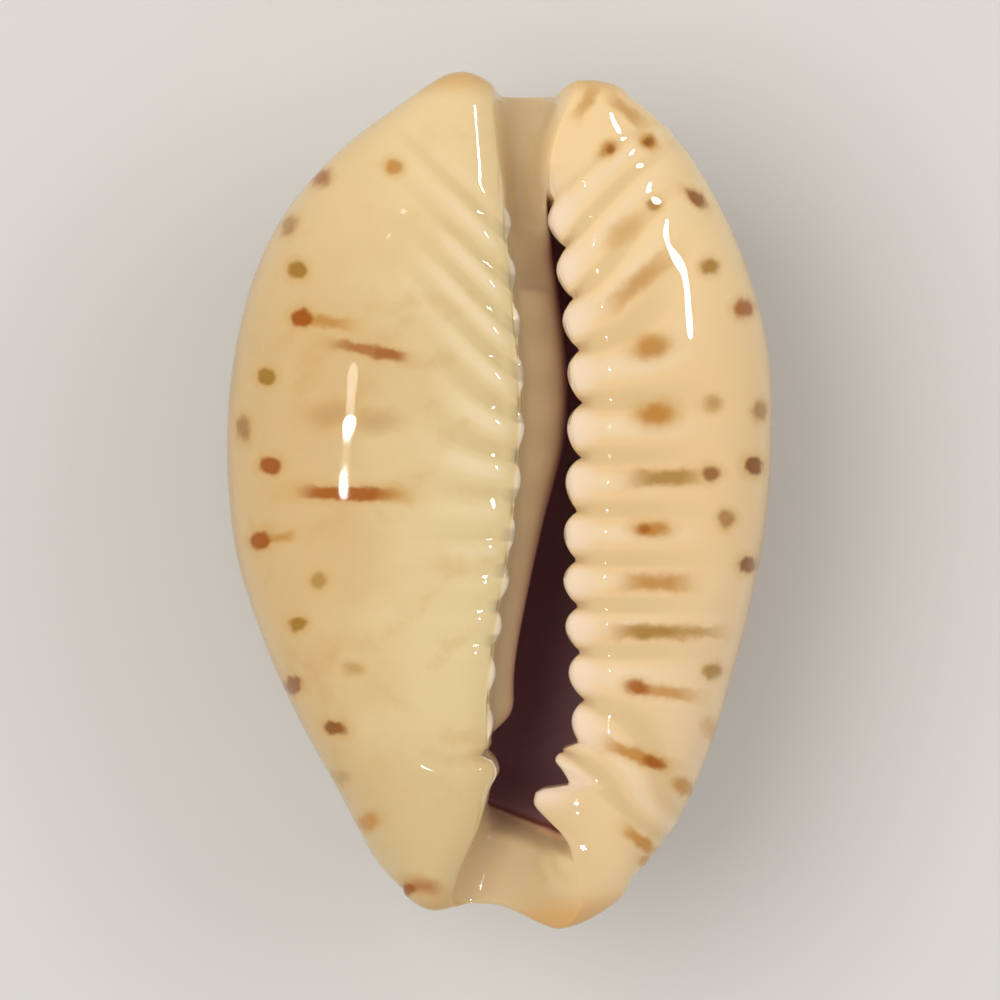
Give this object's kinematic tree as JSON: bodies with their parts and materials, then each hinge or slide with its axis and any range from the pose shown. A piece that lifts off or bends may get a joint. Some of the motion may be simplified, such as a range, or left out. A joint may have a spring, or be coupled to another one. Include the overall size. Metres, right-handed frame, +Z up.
{
  "type": "cowrie shell",
  "caption": "Glossy egg-shaped sea-snail shell lying on its arched back, with a long narrow toothed aperture facing up and a hollow inside.",
  "frame": {"origin": "on the surface that the shell rests on, under the middle of its outline", "axes": "+Y towards the hind end, +X towards the outer lip, +Z up out of the aperture"},
  "size_m": [0.016, 0.025, 0.0126],
  "materials": {
    "shell": "glazed cream porcelain with small orange-brown spots"
  },
  "bodies": {
    "root": {"shell": "shell"}
  },
  "joints": []
}
